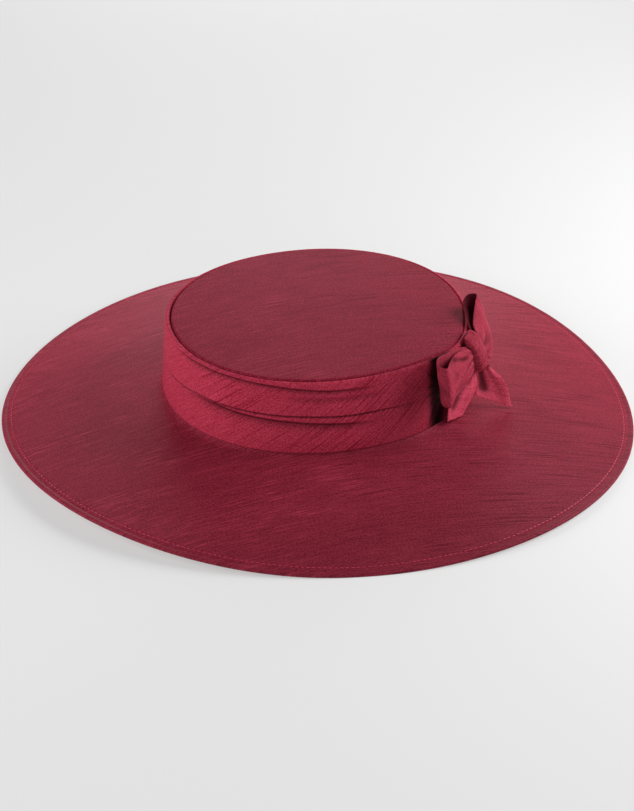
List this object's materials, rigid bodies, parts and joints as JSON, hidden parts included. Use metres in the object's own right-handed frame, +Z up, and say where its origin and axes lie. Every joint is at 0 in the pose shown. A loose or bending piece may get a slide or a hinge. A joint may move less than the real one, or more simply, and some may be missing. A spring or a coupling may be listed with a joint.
{
  "type": "boater hat",
  "caption": "Wide-brimmed boater hat in crimson slubbed silk, with a low flat-topped crown, a folded band and a flat bow at the side.",
  "frame": {"origin": "under the middle of the crown, on the surface that the brim rests on", "axes": "+Z up through the crown; +X towards the back of the hat, along the long axis of the head opening; -Y towards the wearer's left side"},
  "size_m": [0.4073, 0.393, 0.0836],
  "materials": {
    "crimson_silk": "slubbed silk, satin",
    "band_silk": "slubbed silk cut on the bias, satin"
  },
  "bodies": {
    "root": {"brim": "crimson_silk", "crown_side": "crimson_silk", "crown_tip": "crimson_silk", "hat_band": "band_silk", "bow_loop_near": "band_silk", "bow_loop_far": "band_silk", "bow_tail_near": "band_silk", "bow_tail_far": "band_silk", "bow_knot": "band_silk"}
  },
  "joints": []
}
